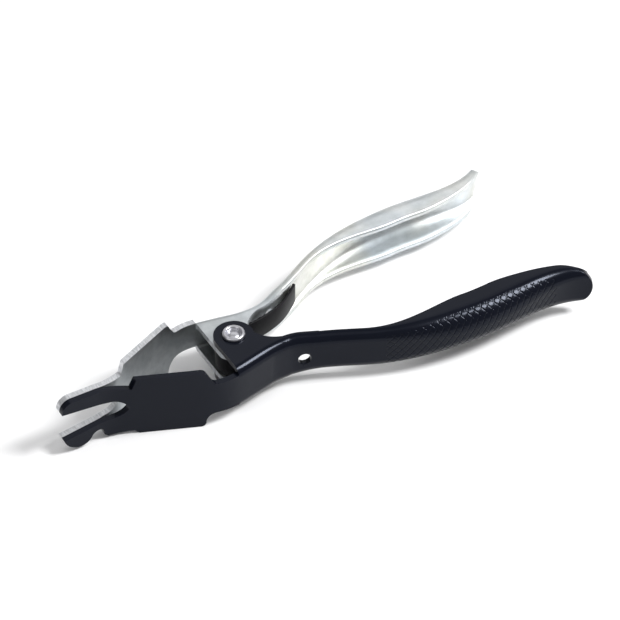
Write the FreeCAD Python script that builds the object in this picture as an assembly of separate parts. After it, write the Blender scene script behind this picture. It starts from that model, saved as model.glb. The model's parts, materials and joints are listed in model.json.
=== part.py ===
import FreeCAD, Part
import math
import os

# Hose-removal pliers with forked, spreading jaws.  All sizes in millimetres.
# Everything is first laid out about the pivot: the pivot axis is Z, the jaws
# point along -X, the plated lever lies on the +Y side and the coated lever is
# its mirror image on the -Y side.  place_on_table() then moves the whole tool
# so that the middle of its bounding box stands over the origin, on Z = 0.

V = FreeCAD.Vector

SHEET = 2.5             # thickness of the pressed steel sheet
MEETING_GAP = 0.05      # each tine stops this far short of the middle plane

TINE_TIP_X = -79.0      # front end of the tines
TINE_BEND_X = -61.0     # where the tines start to bend away from each other
FLARE = 23.0            # angle between a jaw plate and the middle plane, degrees
BEND_RADIUS = 30.7      # inside face of the tine bend
STEP_X = -47.6          # shoulder between tine and jaw plate
PLATE_HALF = 14.0       # half the height of the jaw plate
PLATE_END_X = -20.4     # rear end of the jaw plate
NECK_TOP = 7.5          # top edge of the neck behind the jaw plate
ARCH_FRONT_X = -22.0    # front side of the arch cut under the neck
ARCH_RISE = 2.7         # top of the arch above the underside of the ears

EAR_FRONT_X = -8.0      # straight front edge of the folded ears
EAR_RADIUS = 8.0        # round end of the ears about the rivet
WAIST_X = 16.0          # narrowest place of the tool, behind the pivot
WAIST_Y = 14.6
COATED_EAR_TOP = 10.2   # half height of the coated channel at the pivot
EAR_CLEARANCE = 0.15    # plated ears turn inside the coated ears

GRIP_HALF = 9.2         # half height of both handles
END_HALF = 9.0          # rounded outline of the handle's end, seen from the side
END_RADIUS = 9.0
LIP_DEPTH = 4.4         # depth of the channel where it is shallowest
GRIP_SWELL = 9.4        # how much deeper the channel gets in the palm
BEND_OUTER = 4.0        # outer radius of the folded corners
GRIP_OUTER = 8.2        # the same radius where the channel is deepest

RIVET_SHANK = 3.0       # radius of the rivet shank
RIVET_HEAD = 4.5        # radius of the rivet heads
RIVET_HEAD_HEIGHT = 1.6
SHANK_CLEARANCE = 0.05

HANG_HOLE = 2.7         # radius of the hole through each web
HANG_HOLE_X = 22.6
HANG_HOLE_Z = -1.0

SPRING_STRIP = 1.2      # thickness of the spring strip
SPRING_HALF = 4.85      # half the width of the strip
SPRING_LOOP = 7.6       # outer radius of the loop round the rivet


def smooth(x, low, high):
    """Rise from 0 at low to 1 at high with flat ends."""
    share = min(1.0, max(0.0, (x - low) / (high - low)))
    return share * share * (3.0 - 2.0 * share)


def swell(x):
    """How full the palm swell of the handle is at a distance x, 0 to 1."""
    return smooth(x, 44.0, 88.0) * (1.0 - smooth(x, 102.0, 145.0))


def curve(points, first, last):
    """Smooth curve through the points with given end directions."""
    line = Part.BSplineCurve()
    line.interpolate(Points=points, InitialTangent=first, FinalTangent=last)
    return line


def side_step(line, amount, count, inward):
    """The curve moved sideways by amount, towards the middle plane."""
    points = []
    for i in range(count + 1):
        t = line.FirstParameter + (line.LastParameter - line.FirstParameter) * i / count
        along = line.tangent(t)[0]
        across = V(along.y, -along.x, 0) * inward
        points.append(line.value(t) + across * amount)
    first = line.tangent(line.FirstParameter)[0]
    last = line.tangent(line.LastParameter)[0]
    moved = Part.BSplineCurve()
    moved.interpolate(Points=points, InitialTangent=first, FinalTangent=last)
    return moved


def flat_shape(edges, low, high):
    """Closed outline in plan, raised from low to high."""
    face = Part.Face(Part.Wire(Part.__sortEdges__(edges)))
    face.translate(V(0, 0, low))
    return face.extrude(V(0, 0, high - low))


def polygon(points):
    return Part.makePolygon(points + [points[0]]).Edges


def neck_curve():
    """Outer face of the web from the jaw plate back to the waist, plated side."""
    slope = math.radians(FLARE)
    along = V(math.cos(slope), math.sin(slope), 0)
    start = outer_bend_end() + along * 26.2
    points = [start, V(-13.5, 18.6, 0), V(-3.0, 17.5, 0), V(7.0, 15.4, 0), V(WAIST_X, WAIST_Y, 0)]
    return curve(points, along, V(1, 0, 0))


def stretched(p, reach, spread):
    """A point of the handle's curve moved for a longer or wider handle."""
    return V(WAIST_X + (p.x - WAIST_X) * reach, p.y + spread * smooth(p.x, 24, 70), 0)


def handle_curve(reach, spread):
    """Outer face of the web from the waist to the end of the handle.

    reach stretches the handle along X and spread sets it further out in the palm.
    """
    points = [V(WAIST_X, WAIST_Y, 0), V(24, 16.2, 0), V(38, 22.2, 0), V(50, 28.1, 0)]
    points += [V(68, 34.6, 0), V(84, 37.8, 0), V(98, 38.4, 0), V(112, 37.4, 0)]
    points += [V(124, 36.3, 0), V(133, 37.0, 0), V(142, 40.6, 0)]
    points = [stretched(p, reach, spread) for p in points]
    return curve(points, V(1, 0, 0), V(0.84, 0.54, 0))


def bend_points(radius):
    """Start, middle and end of the tine bend for one face of the sheet."""
    turn = math.radians(FLARE)
    centre_y = MEETING_GAP + BEND_RADIUS
    found = []
    for angle in (0.0, turn / 2, turn):
        x = TINE_BEND_X + radius * math.sin(angle)
        found.append(V(x, centre_y - radius * math.cos(angle), 0))
    return found


def outer_bend_end():
    return bend_points(BEND_RADIUS - SHEET)[2]


def web_strip(low, high):
    """The web seen in plan as a bent strip, from the tine tip to the waist."""
    inner = bend_points(BEND_RADIUS)
    outer = bend_points(BEND_RADIUS - SHEET)
    rear_outer = neck_curve()
    rear_inner = side_step(rear_outer, SHEET, 14, 1)
    tip_inner = V(TINE_TIP_X, MEETING_GAP, 0)
    tip_outer = V(TINE_TIP_X, MEETING_GAP + SHEET, 0)
    inner_start = rear_inner.value(rear_inner.FirstParameter)
    outer_start = rear_outer.value(rear_outer.FirstParameter)
    inner_end = rear_inner.value(rear_inner.LastParameter)
    outer_end = rear_outer.value(rear_outer.LastParameter)
    edges = [Part.makeLine(tip_outer, tip_inner), Part.makeLine(tip_inner, inner[0])]
    edges += [Part.Arc(*inner).toShape(), Part.makeLine(inner[2], inner_start)]
    edges += [rear_inner.toShape(), Part.makeLine(inner_end, outer_end), rear_outer.toShape()]
    edges += [Part.makeLine(outer_start, outer[2]), Part.Arc(*reversed(outer)).toShape()]
    edges += [Part.makeLine(outer[0], tip_outer)]
    return flat_shape(edges, low, high)


def outline(start, steps):
    """Edges of a side outline: (x, z) draws a line, two points draw an arc."""
    edges = []
    here = V(start[0], 0, start[1])
    for step in steps:
        if isinstance(step[0], tuple):
            mid = V(step[0][0], 0, step[0][1])
            there = V(step[1][0], 0, step[1][1])
            edges.append(Part.Arc(here, mid, there).toShape())
        else:
            there = V(step[0], 0, step[1])
            edges.append(Part.makeLine(here, there))
        here = there
    return edges


def quarter(here, there, corner):
    """Middle and end of a quarter circle about the given corner's far side."""
    turn = 1.0 - math.sqrt(0.5)
    mid_x = corner[0] + turn * (here[0] - corner[0] + there[0] - corner[0])
    mid_z = corner[1] + turn * (here[1] - corner[1] + there[1] - corner[1])
    return ((mid_x, mid_z), there)


def jaw_profile(half):
    """Side outline of tines, jaw plate and neck, as a block to keep."""
    foot = -PLATE_HALF
    crown = -half + ARCH_RISE
    bow = min(6.5, crown - foot - 2.05)
    upper = [((-74.9, 9.4), (-71.2, 11.7)), (-60.0, 11.4), (STEP_X, 9.4)]
    upper += [(STEP_X + 1.7, PLATE_HALF), (PLATE_END_X - 2.2, PLATE_HALF)]
    upper += [((PLATE_END_X - 0.75, PLATE_HALF - 0.55), (PLATE_END_X, PLATE_HALF - 2.1))]
    upper += [(-18.6, NECK_TOP + 1.3), ((-17.9, NECK_TOP + 0.3), (-16.6, NECK_TOP))]
    rear = [(EAR_FRONT_X, NECK_TOP), (EAR_FRONT_X, crown), (ARCH_FRONT_X + bow, crown)]
    side = (ARCH_FRONT_X, crown - bow)
    rear += [quarter((ARCH_FRONT_X + bow, crown), side, (ARCH_FRONT_X, crown))]
    heel = (ARCH_FRONT_X, foot + 2.0)
    rear += [heel, quarter(heel, (heel[0] - 2.0, foot), (heel[0], foot))]
    lower = [(-45.7, foot), (STEP_X, -12.5), (-57.2, -12.9), (-58.7, -11.6), (-59.3, -8.4)]
    lower += [((-61.9, -8.2), (-64.0, -9.9)), ((-66.2, -12.1), (-69.0, -12.7))]
    lower += [((-72.6, -11.4), (-75.6, -6.9))]
    slot = [(-56.5, -4.5), ((-51.6, -3.3), (-48.6, 0.0)), ((-51.6, 3.3), (-56.5, 4.5))]
    slot += [(-75.6, 6.9)]
    edges = outline((-75.6, 6.9), upper + rear + lower + slot)
    face = Part.Face(Part.Wire(edges))
    face.translate(V(0, -2, 0))
    return face.extrude(V(0, 30, 0))


def ear_edges(web, nose):
    """Plan outline of one folded ear from the web to the round end at the rivet."""
    front_web = crossing(web, EAR_FRONT_X)
    back_web = web.value(web.LastParameter)
    lip = V(WAIST_X, WAIST_Y - LIP_DEPTH, 0)
    along_x = web.parameter(front_web)
    web_edge = web.toShape(along_x, web.LastParameter)
    turn = math.radians(-20.0)
    back = V(EAR_RADIUS * math.cos(turn), -EAR_RADIUS * math.sin(turn), 0)
    low = V(0, -EAR_RADIUS, 0)
    edges = [web_edge, Part.makeLine(back_web, lip)]
    edges += [Part.Arc(lip, V(11.0, 7.4, 0), back).toShape()]
    side = V(EAR_RADIUS * math.cos(turn), EAR_RADIUS * math.sin(turn), 0)
    edges += [Part.Arc(back, side, low).toShape()]
    if nose:
        corner = V(EAR_FRONT_X, -3.2, 0)
        edges += [Part.Arc(low, V(-5.9, -6.9, 0), corner).toShape()]
        edges += [Part.makeLine(corner, front_web)]
    else:
        rim = V(EAR_FRONT_X, 0, 0)
        edges += [Part.Arc(low, V(-EAR_RADIUS * 0.7071, -EAR_RADIUS * 0.7071, 0), rim).toShape()]
        edges += [Part.makeLine(rim, front_web)]
    return edges


def crossing(line, x):
    """Point of the curve at a given x."""
    low = line.FirstParameter
    high = line.LastParameter
    for _ in range(60):
        middle = (low + high) / 2
        if line.value(middle).x < x:
            low = middle
        else:
            high = middle
    return line.value((low + high) / 2)


def ear_channel(half, nose):
    """Web with the ears folded from it, between the neck and the waist."""
    web = neck_curve()
    block = flat_shape(ear_edges(web, nose), -half, half)
    long_edges = web_corners(block, web, half)
    block = block.makeFillet(BEND_OUTER, long_edges)
    inner_web = side_step(web, SHEET, 14, 1)
    front = crossing(inner_web, EAR_FRONT_X - 3.0)
    start = inner_web.parameter(front)
    end = inner_web.value(inner_web.LastParameter)
    edges = [inner_web.toShape(start, inner_web.LastParameter)]
    rest = [end, end + V(4, 0, 0), V(end.x + 4, -30, 0), V(front.x, -30, 0), front]
    edges += [Part.makeLine(rest[i], rest[i + 1]) for i in range(4)]
    hollow = flat_shape(edges, -half + SHEET, half - SHEET)
    corners = web_corners(hollow, inner_web, half - SHEET)
    hollow = hollow.makeFillet(BEND_OUTER - SHEET, corners)
    return block.cut(hollow)


def web_corners(block, web, half):
    """The two long edges where the web meets the top and bottom of a block."""
    middle = crossing(web, 3.0)
    found = []
    for edge in block.Edges:
        for z in (-half, half):
            near = V(middle.x, middle.y, z)
            if edge.distToShape(Part.Vertex(near))[0] < 0.02:
                found.append(edge)
    return found


def channel_section(place, along, half, depth, radius):
    """U-shaped cross-section of the folded sheet at one place of the handle."""
    inward = V(along.y, -along.x, 0)
    near = radius - SHEET

    def at(n, z):
        return place + inward * n + V(0, 0, z)

    def corner(sign, r):
        mid = math.sqrt(0.5) * r
        z = sign * (half - radius)
        return at(radius - mid, z + sign * mid)

    bend = half - radius
    edges = [Part.makeLine(at(depth, half), at(radius, half))]
    edges += [Part.Arc(at(radius, half), corner(1, radius), at(0, bend)).toShape()]
    edges += [Part.makeLine(at(0, bend), at(0, -bend))]
    edges += [Part.Arc(at(0, -bend), corner(-1, radius), at(radius, -half)).toShape()]
    edges += [Part.makeLine(at(radius, -half), at(depth, -half))]
    edges += [Part.makeLine(at(depth, -half), at(depth, SHEET - half))]
    edges += [Part.makeLine(at(depth, SHEET - half), at(radius, SHEET - half))]
    edges += [Part.Arc(at(radius, SHEET - half), corner(-1, near), at(SHEET, -bend)).toShape()]
    edges += [Part.makeLine(at(SHEET, -bend), at(SHEET, bend))]
    edges += [Part.Arc(at(SHEET, bend), corner(1, near), at(radius, half - SHEET)).toShape()]
    edges += [Part.makeLine(at(radius, half - SHEET), at(depth, half - SHEET))]
    edges += [Part.makeLine(at(depth, half - SHEET), at(depth, half))]
    return Part.Wire(edges)


def handle_channel(start_half, reach, spread):
    """The channel of the handle from the waist to its flared end."""
    line = handle_curve(reach, spread)
    tip = line.value(line.LastParameter).x
    sections = []
    count = 30
    for i in range(count + 1):
        t = line.FirstParameter + (line.LastParameter - line.FirstParameter) * i / count
        place = line.value(t)
        full = swell(place.x)
        settle = smooth(place.x, WAIST_X, WAIST_X + 13.0)
        half = start_half + (GRIP_HALF - start_half) * settle
        end = max(0.0, (place.x - tip + 12.5) / 12.5)
        half = half - 0.9 * end * end
        depth = LIP_DEPTH - 1.1 * end * end + GRIP_SWELL * full
        radius = BEND_OUTER - 0.9 * end * end + (GRIP_OUTER - BEND_OUTER) * full
        sections.append(channel_section(place, line.tangent(t)[0], half, depth, radius))
    channel = Part.makeLoft(sections, True, False)
    along = line.tangent(line.LastParameter)[0]
    return channel.cut(end_corners(line.value(line.LastParameter), along))


def end_corners(place, along):
    """Cutters that round the end of the handle as seen from the side."""
    inward = V(along.y, -along.x, 0)
    cutters = []
    for sign in (-1, 1):
        def at(s, z):
            return place + along * s - inward * 12 + V(0, 0, sign * z)

        flat = END_HALF - END_RADIUS
        mid = END_RADIUS * (1 - math.sqrt(0.5))
        round_end = at(-END_RADIUS, END_HALF)
        edges = [Part.Arc(at(0.01, flat), at(-mid, END_HALF - mid), round_end).toShape()]
        rest = [round_end, at(-END_RADIUS, 14), at(6, 14), at(6, flat), at(0.01, flat)]
        edges += [Part.makeLine(rest[i], rest[i + 1]) for i in range(4)]
        cutters.append(Part.Face(Part.Wire(edges)).extrude(inward * 36))
    return cutters


def hang_hole(reach, spread):
    """Cutter for the round hole through the web behind the waist."""
    line = handle_curve(reach, spread)
    place = crossing(line, HANG_HOLE_X)
    along = line.tangent(line.parameter(place))[0]
    inward = V(along.y, -along.x, 0)
    start = place - inward * 2 + V(0, 0, HANG_HOLE_Z)
    return Part.makeCylinder(HANG_HOLE, SHEET + 4, start, inward)


def lever(half, nose, bore, reach, spread):
    """One pressed lever, on the plated side of the tool."""
    strip = web_strip(-PLATE_HALF - 1, PLATE_HALF + 1)
    body = strip.common(jaw_profile(half))
    body = body.fuse(ear_channel(half, nose))
    body = body.fuse(handle_channel(half, reach, spread))
    body = body.cut(hang_hole(reach, spread))
    body = body.cut(Part.makeCylinder(bore, 40, V(0, 0, -20)))
    return body.removeSplitter().Solids[0]


def plated_lever():
    half = COATED_EAR_TOP - SHEET - EAR_CLEARANCE
    return lever(half, True, RIVET_SHANK + SHANK_CLEARANCE, 0.975, 1.0)


def coated_lever():
    shape = lever(COATED_EAR_TOP, False, RIVET_SHANK, 1.0, 0.0)
    return shape.mirror(V(0, 0, 0), V(0, 1, 0))


def rivet():
    """Semi-tubular rivet: shank, a flat set head below and a rolled rim above."""
    top = COATED_EAR_TOP
    h = RIVET_HEAD_HEIGHT
    r = RIVET_HEAD

    low = -top - h
    under = [(r - 1.2, low), ((r - 0.35, -top - h * 0.72), (r, -top)), (RIVET_SHANK, -top)]
    rim = [(RIVET_SHANK, top), (r, top), (r, top + 0.5)]
    rim += [((r - 0.45, top + 1.35), (r - 1.3, top + h))]
    rim += [((r - 1.75, top + h - 0.25), (r - 1.9, top + 0.75))]
    dome = [((r - 2.8, top + 1.0), (0.8, top + 1.15)), (0.0, top + 1.15), (0.0, low)]
    edges = outline((0.0, low), under + rim + dome)
    face = Part.Face(Part.Wire(edges))
    return face.revolve(V(0, 0, 0), V(0, 0, 1), 360)


def leaf_spring():
    """Hairpin of spring strip: a loop round the rivet, one long and one short leg."""
    r = SPRING_LOOP - SPRING_STRIP / 2
    long_points = [V(0, r, 0), V(10, 7.6, 0), V(19, 8.9, 0), V(28, 11.9, 0), V(38.3, 18.9, 0)]
    long_leg = curve(long_points, V(1, 0, 0), V(0.74, 0.67, 0))
    short_leg = curve([V(16.5, -9.35, 0), V(10, -8.3, 0), V(0, -r, 0)], V(-1, 0.12, 0), V(-1, 0, 0))
    edges = []
    for amount in (-SPRING_STRIP / 2, SPRING_STRIP / 2):
        a = side_step(short_leg, amount, 8, 1)
        b = side_step(long_leg, amount, 12, 1)
        a_end = a.value(a.LastParameter)
        b_start = b.value(b.FirstParameter)
        middle = V(a_end.y, 0, 0)
        edges += [a.toShape(), Part.Arc(a_end, middle, b_start).toShape(), b.toShape()]
    tips = [[edges[0].Vertexes[0].Point, edges[3].Vertexes[0].Point]]
    tips += [[edges[2].Vertexes[-1].Point, edges[5].Vertexes[-1].Point]]
    edges += [Part.makeLine(*tip) for tip in tips]
    return flat_shape(edges, -SPRING_HALF, SPRING_HALF)


def place_on_table(shapes):
    """Move every piece so that the tool stands on Z = 0 over the origin."""
    box = Part.makeCompound(list(shapes.values())).optimalBoundingBox(False, False)
    move = V(-round((box.XMin + box.XMax) / 2, 2), -round((box.YMin + box.YMax) / 2, 2), PLATE_HALF)
    print("pivot axis now at", round(move.x, 4), round(move.y, 4), "mid height", round(move.z, 4))
    print("size", round(box.XLength, 3), round(box.YLength, 3), round(box.ZLength, 3))
    for shape in shapes.values():
        shape.translate(move)


os.makedirs("parts", exist_ok=True)
pieces = {
    "coated_lever": coated_lever(),
    "plated_lever": plated_lever(),
    "pivot_rivet": rivet(),
    "leaf_spring": leaf_spring(),
}
place_on_table(pieces)
for name, shape in pieces.items():
    print(name, shape.ShapeType, len(shape.Solids), shape.isValid(), round(shape.Volume, 1))
    shape.exportStep("parts/" + name + ".step")
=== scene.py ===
import json
import math

import bmesh
import bpy
from mathutils import Matrix, Vector


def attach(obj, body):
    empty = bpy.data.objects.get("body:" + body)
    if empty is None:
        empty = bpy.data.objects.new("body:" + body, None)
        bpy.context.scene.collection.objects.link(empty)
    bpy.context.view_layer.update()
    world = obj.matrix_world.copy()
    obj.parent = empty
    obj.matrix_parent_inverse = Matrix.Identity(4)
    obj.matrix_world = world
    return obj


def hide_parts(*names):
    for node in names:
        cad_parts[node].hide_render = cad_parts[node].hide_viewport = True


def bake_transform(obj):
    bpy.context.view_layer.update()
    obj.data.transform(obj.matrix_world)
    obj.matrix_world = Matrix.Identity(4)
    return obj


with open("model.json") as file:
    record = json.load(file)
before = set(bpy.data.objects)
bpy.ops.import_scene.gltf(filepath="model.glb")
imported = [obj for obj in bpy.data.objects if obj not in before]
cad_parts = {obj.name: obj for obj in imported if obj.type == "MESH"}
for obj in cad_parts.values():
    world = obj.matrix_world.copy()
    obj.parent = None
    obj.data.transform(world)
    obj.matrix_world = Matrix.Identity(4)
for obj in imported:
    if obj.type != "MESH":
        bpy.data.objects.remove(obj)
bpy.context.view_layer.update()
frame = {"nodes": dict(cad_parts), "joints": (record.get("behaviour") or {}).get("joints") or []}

# ---------------------------------------------------------------- studio
# The tool lies on its side on a seamless white table.  Broad soft lights hang
# over it, and a long lens looks down on it from in front of the jaws.

TABLE_HALF = 3.0
table_corners = [(TABLE_HALF * x, TABLE_HALF * y, 0) for x, y in ((-1, -1), (1, -1), (1, 1), (-1, 1))]
floor_mesh = bpy.data.meshes.new("table_top")
floor_mesh.from_pydata(table_corners, [], [(0, 1, 2, 3)])
table_top = bpy.data.objects.new("table_top", floor_mesh)
bpy.context.scene.collection.objects.link(table_top)


class Wire:
    """A shader socket that takes part in ordinary sums."""

    def __init__(self, recipe, socket):
        self.recipe = recipe
        self.socket = socket

    def sum(self, operation, *others):
        return self.recipe.node("ShaderNodeMath", {"operation": operation}, self, *others)

    def __add__(self, other):
        return self.sum("ADD", other)

    def __sub__(self, other):
        return self.sum("SUBTRACT", other)

    def __rsub__(self, other):
        return self.recipe.node("ShaderNodeMath", {"operation": "SUBTRACT"}, other, self)

    def __mul__(self, other):
        return self.sum("MULTIPLY", other)

    __radd__ = __add__
    __rmul__ = __mul__


class Finish:
    """One surface finish: a material, its shader and the nodes that feed it."""

    def __init__(self, name, **constants):
        self.material = bpy.data.materials.new(name)
        self.material.use_nodes = True
        self.tree = self.material.node_tree
        self.shader = self.tree.nodes["Principled BSDF"]
        for label, value in constants.items():
            self.shader.inputs[label.replace("_", " ")].default_value = value

    def node(self, kind, settings, *values, out=0, **named):
        made = self.tree.nodes.new(kind)
        for label, value in settings.items():
            setattr(made, label, value)
        pairs = [(made.inputs[i], v) for i, v in enumerate(values)]
        pairs += [(made.inputs[k.replace("_", " ")], v) for k, v in named.items()]
        for socket, value in pairs:
            if value is None:
                continue
            if isinstance(value, Wire):
                self.tree.links.new(value.socket, socket)
            else:
                socket.default_value = value
        return Wire(self, made.outputs[out])

    def place(self):
        return self.node("ShaderNodeTexCoord", {}, out=3)

    def noise(self, scale, detail=4.0, roughness=0.6, stretch=None):
        where = self.place()
        if stretch:
            where = self.node("ShaderNodeVectorMath", {"operation": "MULTIPLY"}, where, stretch)
        return self.node(
            "ShaderNodeTexNoise", {}, Vector=where, Scale=scale, Detail=detail, Roughness=roughness
        )

    def ramp(self, value, low, high):
        return self.node("ShaderNodeMapRange", {"clamp": True}, value, low, high, 0.0, 1.0)

    def mix(self, share, first, second):
        unused = [None] * 5
        return self.node("ShaderNodeMix", {"data_type": "RGBA"}, share, *unused, first, second, out=2)

    def feed(self, label, wire):
        self.tree.links.new(wire.socket, self.shader.inputs[label])

    def bump(self, height, strength, distance):
        made = self.node("ShaderNodeBump", {}, Strength=strength, Distance=distance, Height=height)
        self.feed("Normal", made)


table_finish = Finish("white_table", Roughness=0.65)
table_tone = table_finish.noise(3.0)
table_white = table_finish.mix(table_tone, (0.90, 0.90, 0.905, 1), (0.93, 0.93, 0.935, 1))
table_finish.feed("Base Color", table_white)
floor_mesh.materials.append(table_finish.material)


def softbox(name, place, width, height, watts):
    """A soft rectangular light that faces the middle of the tool."""
    lamp = bpy.data.lights.new(name, "AREA")
    lamp.shape = "RECTANGLE"
    lamp.size = width
    lamp.size_y = height
    lamp.energy = watts
    holder = bpy.data.objects.new(name, lamp)
    holder.location = place
    holder.rotation_euler = (-Vector(place)).to_track_quat("-Z", "Y").to_euler()
    bpy.context.scene.collection.objects.link(holder)


softbox("overhead_box", (-0.35, -0.1, 1.3), 1.2, 1.0, 2.0)
softbox("rear_box", (0.65, 1.05, 1.15), 1.6, 1.1, 4.0)
softbox("key_box", (0.70, -0.42, 1.0), 0.34, 0.46, 18.0)
softbox("left_box", (-0.9, -0.2, 0.6), 0.6, 0.8, 1.5)

world = bpy.data.worlds.new("studio_air")
world.use_nodes = True
world.node_tree.nodes["Background"].inputs["Color"].default_value = (1, 1, 1, 1)
world.node_tree.nodes["Background"].inputs["Strength"].default_value = 0.34
bpy.context.scene.world = world
bpy.context.scene.view_settings.view_transform = "Standard"

pivot = Vector(frame["joints"][0]["pos_m"])
EYE_HEIGHT = math.radians(42.825)
EYE_TURN = math.radians(30.913)
SIDEWAYS, UPWARDS, AWAY = -0.0295, -0.0171, 0.9954
across = Vector((math.cos(EYE_TURN), -math.sin(EYE_TURN), 0))
deeper = Vector((math.sin(EYE_TURN), math.cos(EYE_TURN), 0))
back = -deeper * math.cos(EYE_HEIGHT) + Vector((0, 0, math.sin(EYE_HEIGHT)))
upward = back.cross(across)
lens = bpy.data.cameras.new("long_lens")
lens.sensor_width = 36.0
lens.lens = 148.5
eye = bpy.data.objects.new("long_lens", lens)
eye.matrix_world = Matrix.Translation(
    pivot - across * SIDEWAYS - upward * UPWARDS + back * AWAY
) @ Matrix((across, upward, back)).transposed().to_4x4()
bpy.context.scene.collection.objects.link(eye)
bpy.context.scene.camera = eye

# ---------------------------------------------------------------- coated lever
# The front lever: one pressing of 2.5 mm sheet with a forked jaw, two ears and
# a channel handle.  It is dipped in a semi-gloss blue-black coating, and the
# palm of the handle is cross-cut with shallow grooves for grip.

MM = 0.001
SHEET = 2.5
ARRIS = 0.35         # rounding of the sheared lips
FOLD = 4.0           # outer radius of the folds between web and ears
LIP = 4.4            # depth of the channel at its shallowest
PALM_DEEPER = 9.4    # how much deeper it gets in the palm
PALM_ROUNDER = 4.2   # and how much rounder its folds get there
GRIP_HALF = 9.2      # half height of a handle
END_ROUND = 9.0      # radius of a handle's end, seen from the side
END_TAPER = 12.5     # length over which the end draws in
HATCH_FROM, HATCH_TO = 52, 127
HATCH_DEPTH = 0.25
HATCH_PITCH = 16     # grid steps from one groove to the next
EAR_FRONT = -8.0
CUT_AT = 13.0        # where the pressed front meets the drawn handle


def ease(value, low, high):
    share = min(1.0, max(0.0, (value - low) / (high - low)))
    return share * share * (3.0 - 2.0 * share)


def placed(x, y, z):
    """A point of the tool's own layout, in mm about the pivot."""
    return pivot + Vector((x, y, z)) * MM


class Line:
    """A smooth line in plan through given points, measured along its length."""

    def __init__(self, points, first, last):
        points = [Vector(p) for p in points]
        span = [(q - p).length for p, q in zip(points, points[1:])]
        slope = [Vector(first)] + [Vector((0, 0))] * (len(points) - 2) + [Vector(last)]
        for _ in range(60):
            for i in range(1, len(points) - 1):
                before, after = span[i - 1], span[i]
                pull = (points[i] - points[i - 1]) * (3 * after / before)
                pull += (points[i + 1] - points[i]) * (3 * before / after)
                pull -= slope[i - 1] * after + slope[i + 1] * before
                slope[i] = pull / (2 * (before + after))
        self.rows = []
        length = 0.0
        for i, wide in enumerate(span):
            for step in range(40 if i < len(span) - 1 else 41):
                t = step / 40
                here = points[i] * ((1 + 2 * t) * (1 - t) ** 2) + points[i + 1] * (t * t * (3 - 2 * t))
                here += slope[i] * (wide * t * (1 - t) ** 2) - slope[i + 1] * (wide * t * t * (1 - t))
                if self.rows:
                    length += (here - self.rows[-1][1]).length
                self.rows.append((length, here))
        self.length = length

    def at(self, along):
        """Place and direction at a distance along the line."""
        rows = self.rows
        low, high = 0, len(rows) - 2
        while low < high:
            mid = (low + high + 1) // 2
            if rows[mid][0] <= along:
                low = mid
            else:
                high = mid - 1
        (from_s, p), (to_s, q) = rows[low], rows[low + 1]
        ahead = rows[min(low + 2, len(rows) - 1)][1]
        behind = rows[max(low - 1, 0)][1]
        share = (along - from_s) / (to_s - from_s)
        way = (q - behind).lerp(ahead - p, share)
        return p.lerp(q, share), way.normalized()


def handle_line(reach, spread):
    """Outer face of a handle from the waist to its end, on the +Y side."""
    points = [(16, 14.6), (24, 16.2), (38, 22.2), (50, 28.1), (68, 34.6), (84, 37.8)]
    points += [(98, 38.4), (112, 37.4), (124, 36.3), (133, 37.0), (142, 40.6)]
    moved = [(16 + (x - 16) * reach, y + spread * ease(x, 24, 70)) for x, y in points]
    return Line(moved, (1, 0), (0.8412, 0.5408))


def outline_at(q, depth, half, radius):
    """Point and inward normal of the bent sheet, a share q of the way round it."""
    wall, bend, web = depth - radius, radius * math.pi / 2, 2 * (half - radius)
    left = q * (2 * wall + 2 * bend + web)
    side = -1
    if left > wall + bend + web / 2:
        left = 2 * wall + 2 * bend + web - left
        side = 1
    if left < wall:
        return depth - left, side * half, 0.0, -side
    if left < wall + bend:
        turn = (left - wall) / radius
        out = radius - radius * math.sin(turn)
        return out, side * (half - radius + radius * math.cos(turn)), math.sin(turn), -side * math.cos(turn)
    return 0.0, side * (half - radius - (left - wall - bend)), 1.0, 0.0


def solid_from(name, verts, faces, smooth=True):
    mesh = bpy.data.meshes.new(name)
    mesh.from_pydata(verts, [], faces)
    mesh.polygons.foreach_set("use_smooth", [smooth] * len(mesh.polygons))
    work = bmesh.new()
    work.from_mesh(mesh)
    bmesh.ops.recalc_face_normals(work, faces=work.faces)
    work.to_mesh(mesh)
    work.free()
    made = bpy.data.objects.new(name, mesh)
    bpy.context.scene.collection.objects.link(made)
    return made


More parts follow.
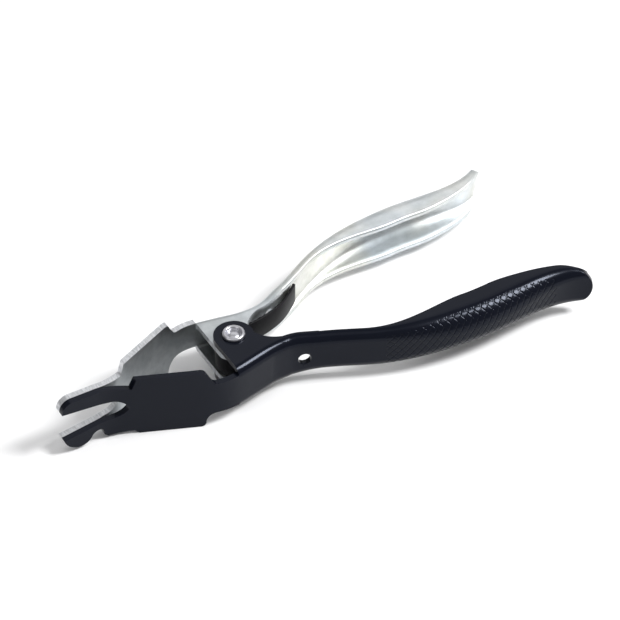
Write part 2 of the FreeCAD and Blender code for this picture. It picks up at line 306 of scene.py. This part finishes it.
def channel_handle(name, line, side, start_half, step, around, hatch):
    """The pressed channel handle with rounded lips, a round end and cut grooves."""
    tip = line.at(line.length)[0].x
    rows = []
    s = CUT_AT
    while s < line.length - ARRIS - step:
        rows.append((s, 0.0))
        s += step if hatch and HATCH_FROM - 1 < line.at(s)[0].x < HATCH_TO + 1 else 0.8
    rows += [(line.length - ARRIS, 0.0)]
    rows += [(line.length - ARRIS * 0.3, ARRIS * 0.3), (line.length, ARRIS)]
    loop = [(k / around, 0.0) for k in range(around + 1)]
    loop += [(1.0, SHEET * k / 4) for k in (1, 2, 3)]
    inside = around // 4
    loop += [(1 - k / inside, SHEET) for k in range(inside + 1)]
    loop += [(0.0, SHEET * k / 4) for k in (3, 2, 1)]
    verts = []
    fine = [hatch and HATCH_FROM < line.at(s)[0].x < HATCH_TO for s, inset in rows]
    for i, (s, inset) in enumerate(rows):
        x = line.at(s)[0].x
        full = ease(x, 44, 88) * (1 - ease(x, 102, 145))
        end = max(0.0, (x - tip + END_TAPER) / END_TAPER)
        half = start_half + (GRIP_HALF - start_half) * ease(x, 16, 29) - 0.9 * end * end
        depth = LIP - 1.1 * end * end + PALM_DEEPER * full
        radius = FOLD - 0.9 * end * end + PALM_ROUNDER * full
        girth = 2 * (depth - radius) + math.pi * radius + 2 * (half - radius)
        for j, (q, off) in enumerate(loop):
            rim = max(ARRIS if off == 0.0 or off == SHEET else 0.0, inset) / girth
            if 0.0 < off < SHEET and abs(off - SHEET / 2) > 0.1:
                off = SHEET / 2 + (SHEET / 2 - ARRIS) * (1 if off > SHEET / 2 else -1)
            q = min(1 - rim, max(rim, q))
            off = min(SHEET - inset, max(inset, off))
            if fine[i] and off == 0.0 and 0.22 < q < 0.78:
                if (i + j) % HATCH_PITCH == 0 or (i - j) % HATCH_PITCH == 0:
                    off = HATCH_DEPTH
            u, z, nu, nz = outline_at(q, depth, half, radius)
            u, z = u + nu * off, z + nz * off
            low = abs(z) if hatch else max((END_ROUND - z) / 2, 0.95 * z)
            drop = END_ROUND - math.sqrt(END_ROUND ** 2 - min(8.9, low) ** 2)
            place, along = line.at(s - drop * max(0.0, (s - line.length + 14) / 14) ** 2)
            verts.append(placed(place.x + along.y * u, side * (place.y - along.x * u), z))
    n = len(loop)
    faces = []
    for i in range(len(rows) - 1):
        for j in range(n):
            a, b = i * n + j, i * n + (j + 1) % n
            c, d = b + n, a + n
            if hatch and j < around and fine[i]:
                faces += [(a, b, c), (a, c, d)] if (i + j) % 2 == 0 else [(a, b, d), (b, c, d)]
            else:
                faces.append((a, b, c, d))
    base = (len(rows) - 1) * n
    last = base + around + 4 + inside
    for k in range(inside):
        faces.append([base + 4 * k + m for m in range(5)] + [last - k - 1, last - k])
    faces.append([base + around + k for k in range(5)])
    faces.append([last + k for k in range(4)] + [base])
    return solid_from(name, verts, faces)


def web_line():
    """Outer face of the web from the jaw plate to the waist, on the +Y side."""
    points = [(-25.87, 15.03), (-13.5, 18.6), (-3, 17.5), (7, 15.4), (16, 14.6)]
    return Line(points, (0.9205, 0.3907), (1, 0))


def off_web(web, spot, side):
    """How far inside the web's outer face a point lies, and the way outwards."""
    row = min(web.rows, key=lambda r: abs(r[1].x - spot.x))
    place, along = web.at(min(row[0], web.length - 0.01))
    outward = Vector((-along.y, along.x))
    return (place - Vector((spot.x, spot.y * side))).dot(outward), outward


def pressed_front(node, name, line, side, half):
    """The jaw, neck and ears of a lever, with the sheared edges rounded a little.

    Sheared faces ahead of the ears get the second finish, where there is one.
    """
    cad = frame["nodes"][node]
    mesh = cad.data.copy()
    mesh.name = name
    mesh.transform(cad.matrix_world)
    work = bmesh.new()
    work.from_mesh(mesh)
    bmesh.ops.remove_doubles(work, verts=work.verts, dist=0.000004)
    place, along = line.at(CUT_AT)
    every = list(work.verts) + list(work.edges) + list(work.faces)
    bmesh.ops.bisect_plane(
        work, geom=every, plane_co=placed(place.x, side * place.y, 0),
        plane_no=(along.x, side * along.y, 0), clear_outer=True,
    )
    bmesh.ops.dissolve_limit(work, angle_limit=math.radians(0.4), verts=work.verts, edges=work.edges)
    work.normal_update()
    for face in work.faces:
        cut = abs(face.normal.y) < 0.05 and face.calc_center_median().x < pivot.x + (EAR_FRONT + 0.1) * MM
        face.material_index = 1 if cut else 0
    work.to_mesh(mesh)
    work.free()
    if mesh.attributes.get("custom_normal"):
        mesh.attributes.remove(mesh.attributes["custom_normal"])
    mesh.polygons.foreach_set("use_smooth", [True] * len(mesh.polygons))
    made = bpy.data.objects.new(name, mesh)
    bpy.context.scene.collection.objects.link(made)
    edge = made.modifiers.new("arris", "BEVEL")
    edge.limit_method = "ANGLE"
    edge.angle_limit = math.radians(40)
    edge.width = 0.0003
    edge.segments = 2
    made.modifiers.new("even_shading", "WEIGHTED_NORMAL")
    true_bends(made, side, half)
    return made


def true_bends(made, side, half):
    """Shades the two long bends between web and ears as the exact round they are."""
    bpy.context.view_layer.update()
    final = made.evaluated_get(bpy.context.evaluated_depsgraph_get())
    mesh = bpy.data.meshes.new_from_object(final)
    made.modifiers.clear()
    made.data = mesh
    web = web_line()
    inner = FOLD - SHEET
    facing = [n.vector.copy() for n in mesh.corner_normals]
    for face in mesh.polygons:
        for corner in face.loop_indices:
            spot = (mesh.vertices[mesh.loops[corner].vertex_index].co - pivot) / MM
            height = abs(spot.z) - (half - FOLD)
            if height < 0 or not EAR_FRONT - 0.1 < spot.x < 14 or spot.y * side < 8:
                continue
            deep, outward = off_web(web, spot, side)
            short = FOLD - deep
            size = math.hypot(short, height)
            tall = math.copysign(height, spot.z)
            normal = Vector((outward.x * short, side * outward.y * short, tall)) / size
            if short > -0.05 and abs(size - inner) < 0.15:
                normal = -normal
            elif short < -0.05 or abs(size - FOLD) > 0.15:
                continue
            if normal.dot(face.normal) > 0.8:
                facing[corner] = normal
    mesh.normals_split_custom_set(facing)


def fit(piece, body, nodes, slot, *finishes):
    """Hangs a piece on its body in place of the plain shape, with its finish."""
    mesh = piece.data
    for i, finish in enumerate(finishes):
        if i == len(mesh.materials):
            mesh.materials.append(None)
        mesh.materials[i] = finish.material
    if len(finishes) == 1:
        mesh.polygons.foreach_set("material_index", [0] * len(mesh.polygons))
    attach(piece, body)
    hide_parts(nodes)


coating = Finish(
    "blue_black_coating", Specular_IOR_Level=0.16, Specular_Tint=(0.75, 0.82, 1, 1), Coat_Roughness=0.1
)
blue_black = coating.mix(coating.noise(90.0), (0.0022, 0.0028, 0.006, 1), (0.0045, 0.0055, 0.010, 1))
coating.feed("Base Color", blue_black)
coating.feed("Roughness", coating.noise(60.0) * 0.05 + 0.16)
coating.feed("Coat Weight", coating.noise(40.0) * 0.05)
coating.bump(coating.noise(1500.0, 2.0), 0.08, 0.0001)

COATED_HALF = 10.2
coated_line = handle_line(1.0, 0.0)
coated_front = pressed_front("coated_lever", "coated_front", coated_line, -1, COATED_HALF)
fit(coated_front, "coated", "coated_lever", "black_coating", coating)
coated_handle = channel_handle("coated_handle", coated_line, -1, COATED_HALF, 0.2, 128, True)
fit(coated_handle, "coated", "coated_lever", "black_coating", coating)

# ---------------------------------------------------------------- plated lever
# The rear lever: the mirror-image pressing, left bare and zinc plated, so its
# sheared edges still show the drag marks of the blanking tool.

zinc = Finish("bright_zinc", Metallic=1.0)
cloud = zinc.ramp(zinc.noise(150.0, 6.0), 0.3, 0.7)
# Painted light: ahead of the pivot the zinc is painted darker, as painted shade on the jaws. Behind it the
# zinc is painted lighter, as a painted reflection inside the handle's channel. The same share also makes the
# handle a little rougher.
lit_aft_share = zinc.ramp(zinc.node("ShaderNodeSeparateXYZ", {}, zinc.place()), pivot.x - 0.012, pivot.x + 0.03)
shaded_fore_tone = zinc.mix(cloud, (0.36, 0.38, 0.40, 1), (0.56, 0.59, 0.60, 1))
tint = zinc.ramp(zinc.noise(28.0, 2.0), 0.42, 0.58)
cool = zinc.mix(cloud, (0.60, 0.64, 0.66, 1), (0.78, 0.82, 0.85, 1))
warm = zinc.mix(cloud, (0.63, 0.64, 0.60, 1), (0.83, 0.83, 0.80, 1))
bright = zinc.mix(tint, cool, warm)
# Base colour: painted shade on the jaws blends into the painted reflection along the handle.
zinc.feed("Base Color", zinc.mix(lit_aft_share, shaded_fore_tone, bright))
zinc.feed("Roughness", zinc.noise(160.0) * 0.2 + lit_aft_share * 0.12 + 0.26)
zinc.bump(zinc.noise(500.0, 4.0), 0.10, 0.0001)

sheared = Finish("sheared_zinc", Metallic=0.85)
drag = sheared.ramp(sheared.noise(1.0, 2.0, stretch=(1600.0, 300.0, 120.0)), 0.3, 0.7)
sheared.feed("Base Color", sheared.mix(drag, (0.46, 0.47, 0.49, 1), (0.74, 0.75, 0.77, 1)))
sheared.feed("Roughness", 0.5 - drag * 0.1)
sheared.bump(drag, 0.15, 0.0001)

PLATED_HALF = 7.55
plated_line = handle_line(0.975, 1.0)
plated_front = pressed_front("plated_lever", "plated_front", plated_line, 1, PLATED_HALF)
fit(plated_front, "plated", "plated_lever", "zinc_plate", zinc, sheared)
plated_handle = channel_handle("plated_handle", plated_line, 1, PLATED_HALF, 0.8, 56, False)
fit(plated_handle, "plated", "plated_lever", "zinc_plate", zinc)

# ---------------------------------------------------------------- pivot rivet
# A bright semi-tubular rivet through all four ears: flat set head below, and
# the hollow end rolled over above with a polished dome left in its middle.


def turned(name, profile, steps):
    """A piece turned about the pivot axis from (radius, height) points in mm."""
    verts, faces = [], []
    for k in range(steps):
        turn = math.tau * k / steps
        for radius, height in profile:
            verts.append(placed(radius * math.cos(turn), radius * math.sin(turn), height))
    n = len(profile)
    for k in range(steps):
        nxt = (k + 1) % steps
        for i in range(n - 1):
            faces.append((k * n + i, k * n + i + 1, nxt * n + i + 1, nxt * n + i))
    made = solid_from(name, verts, faces)
    work = bmesh.new()
    work.from_mesh(made.data)
    bmesh.ops.remove_doubles(work, verts=work.verts, dist=0.0000005)
    bmesh.ops.recalc_face_normals(work, faces=work.faces)
    work.to_mesh(made.data)
    work.free()
    return made


rivet_steel = Finish("rivet_steel", Metallic=1.0)
rubbed = rivet_steel.mix(rivet_steel.noise(300.0), (0.42, 0.42, 0.45, 1), (0.66, 0.66, 0.70, 1))
rivet_steel.feed("Base Color", rubbed)
rivet_steel.feed("Roughness", rivet_steel.noise(500.0) * 0.12 + 0.26)
profile = [(0.0, -11.8), (2.2, -11.8), (3.3, -11.78), (3.8, -11.62), (4.2, -11.25)]
profile += [(4.42, -10.8), (4.5, -10.2)]
profile += [(3.0, -10.2), (3.0, 10.2), (4.38, 10.22), (4.5, 10.34), (4.5, 10.7)]
for k in range(1, 13):
    turn = math.pi * 1.1 * k / 13
    profile.append((3.7 + 0.8 * math.cos(turn), 10.85 + 0.93 * math.sin(turn)))
profile += [(2.85, 10.3), (2.6, 10.25), (2.4, 10.35), (2.2, 10.55)]
profile += [(1.7, 10.8), (1.2, 10.97), (0.6, 11.1), (0.0, 11.14)]
fit(turned("rolled_rivet", profile, 96), "coated", "pivot_rivet", "rivet_steel", rivet_steel)

# ---------------------------------------------------------------- leaf spring
# A hairpin of dark tempered strip: it loops round the rivet between the ears,
# one long leg pushes on the plated lever and a short one on the coated lever.

temper = Finish("tempered_strip", Metallic=0.0, Specular_IOR_Level=0.07)
temper.feed("Base Color", temper.mix(temper.noise(300.0), (0.006, 0.006, 0.007, 1), (0.016, 0.016, 0.018, 1)))
temper.feed("Roughness", temper.noise(400.0) * 0.2 + 0.28)
temper.bump(temper.noise(900.0, 2.0), 0.1, 0.0001)

points = [(38.2, 18.8), (32.4, 14.2), (27.6, 11.3), (19, 8.5), (14, 7.7), (10, 7.45)]
points += [(7 * math.cos(math.radians(a)), 7 * math.sin(math.radians(a))) for a in range(90, 271, 20)]
points += [(10, -8.3), (16.4, -9.33)]
strip = Line(points, (-0.74, -0.67), (0.99, -0.12))
section = []
corners = ((4.55, 0.3, 0), (-4.55, 0.3, 90), (-4.55, -0.3, 180), (4.55, -0.3, 270))
for across_z, across_t, first in corners:
    for angle in (0, 45, 90):
        turn = math.radians(first + angle)
        section.append((across_z + 0.28 * math.cos(turn), across_t + 0.28 * math.sin(turn)))
verts, faces = [], []
steps = 150
rows = [(0.0, 0.86), (0.12, 0.96), (0.3, 1.0)]
rows += [(0.3 + (strip.length - 0.6) * k / steps, 1.0) for k in range(1, steps)]
rows += [(strip.length - 0.3, 1.0), (strip.length - 0.12, 0.96), (strip.length, 0.86)]
for s, size in rows:
    here, along = strip.at(s)
    narrow = 1.0 - 0.03 * ease(6.0 - s, 0.0, 6.0)
    for z, t in section:
        height = z * narrow * (0.5 + size / 2)
        verts.append(placed(here.x - along.y * t * size, here.y + along.x * t * size, height))
n = len(section)
for i in range(len(rows) - 1):
    for j in range(n):
        nxt = (j + 1) % n
        faces.append((i * n + j, i * n + nxt, (i + 1) * n + nxt, (i + 1) * n + j))
faces += [list(range(n)), [(len(rows) - 1) * n + j for j in range(n)]]
hairpin = solid_from("hairpin_strip", verts, faces)
hairpin.data.materials.append(temper.material)
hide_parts("leaf_spring")
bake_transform(hairpin)
